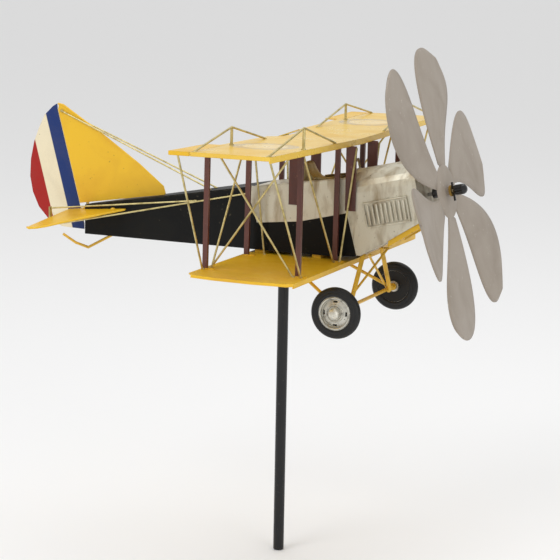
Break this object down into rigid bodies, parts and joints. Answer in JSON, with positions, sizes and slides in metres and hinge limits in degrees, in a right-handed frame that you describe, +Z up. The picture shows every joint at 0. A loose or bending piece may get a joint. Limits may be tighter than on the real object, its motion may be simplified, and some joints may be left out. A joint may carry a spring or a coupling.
{
  "type": "biplane whirligig",
  "caption": "Sheet-metal biplane on a pole: the whole plane swivels to face the wind, the petal propeller spins and both wheels turn.",
  "frame": {"origin": "centre of the mouth of the socket in the pole's foot", "axes": "+Z up along the pole, +X to the biplane's nose at rest, +Y to its port wing"},
  "size_m": [0.5461, 0.5002, 0.575],
  "materials": {
    "pole_black": "satin black enamel",
    "steel": "plain steel",
    "brass": "dull brass",
    "body_black": "satin black enamel on sheet",
    "cowl_silver": "aged brushed tin plate",
    "seat_bronze": "bronze lacquer",
    "wing_yellow": "yellow enamel on sheet",
    "rudder_stripes": "red, white and blue stripes",
    "strut_brown": "red brown enamel",
    "rigging_brass": "dull brass rod",
    "rod_yellow": "ochre enamel on rod",
    "tyre": "moulded black rubber",
    "rim": "cast and worn",
    "hub_cap": "bright",
    "propeller_taupe": "matte taupe enamel",
    "gloss_black": "gloss black"
  },
  "bodies": {
    "pole": {"pole_tube": "pole_black", "pivot_spindle": "steel", "pivot_washer": "brass"},
    "plane": {"swivel_tube": "steel", "swivel_cap": "steel", "tube_bracket": "steel", "fuselage_shell": "body_black", "rear_deck": "body_black", "cockpit_panels": "cowl_silver", "cockpit_deck": "cowl_silver", "headrest": "seat_bronze", "windshield": "seat_bronze", "engine_cowl": "cowl_silver", "nose_plate": "cowl_silver", "louvre_starboard": "cowl_silver", "louvre_port": "cowl_silver", "nose_bearers": "wing_yellow", "top_wing_starboard": "wing_yellow", "top_wing_port": "wing_yellow", "wing_joiner": "wing_yellow", "aileron_starboard": "wing_yellow", "aileron_port": "wing_yellow", "lower_wing": "wing_yellow", "wing_packers": "wing_yellow", "struts_front_starboard": "strut_brown", "struts_rear_starboard": "strut_brown", "struts_front_port": "strut_brown", "struts_rear_port": "strut_brown", "cabane_front": "strut_brown", "cabane_rear": "strut_brown", "strut_feet": "wing_yellow", "rigging_starboard": "rigging_brass", "rigging_port": "rigging_brass", "kingposts": "rigging_brass", "kingpost_stays": "rigging_brass", "fin": "wing_yellow", "rudder": "rudder_stripes", "tailplane": "wing_yellow", "control_horns": "rigging_brass", "control_cables": "rigging_brass", "fin_stays": "rigging_brass", "tail_skid": "rod_yellow", "gear_legs": "rod_yellow", "gear_braces": "rod_yellow", "axle": "rod_yellow", "axle_collars": "rod_yellow", "propeller_shaft": "steel", "shaft_bead": "gloss_black", "shaft_washer": "brass", "split_pin": "gloss_black", "shaft_cap": "gloss_black"},
    "propeller": {"propeller_blades": "propeller_taupe", "propeller_hub": "propeller_taupe"},
    "wheel_starboard": {"tyre_starboard": "tyre", "rim_starboard": "rim", "hub_cap_starboard": "hub_cap"},
    "wheel_port": {"tyre_port": "tyre", "rim_port": "rim", "hub_cap_port": "hub_cap"}
  },
  "joints": [
    {"name": "plane_swivel", "type": "hinge", "parent": "pole", "child": "plane", "pos_m": [0, 0, 0.365], "axis": [0, 0, 1], "continuous": true},
    {"name": "propeller_spin", "type": "hinge", "parent": "plane", "child": "propeller", "pos_m": [0.186, 0, 0.422], "axis": [0.9744, 0, 0.225], "continuous": true},
    {"name": "wheel_starboard_spin", "type": "hinge", "parent": "plane", "child": "wheel_starboard", "pos_m": [0.0987, -0.091, 0.298], "axis": [0, 1, 0], "continuous": true},
    {"name": "wheel_port_spin", "type": "hinge", "parent": "plane", "child": "wheel_port", "pos_m": [0.0987, 0.091, 0.298], "axis": [0, 1, 0], "continuous": true}
  ]
}
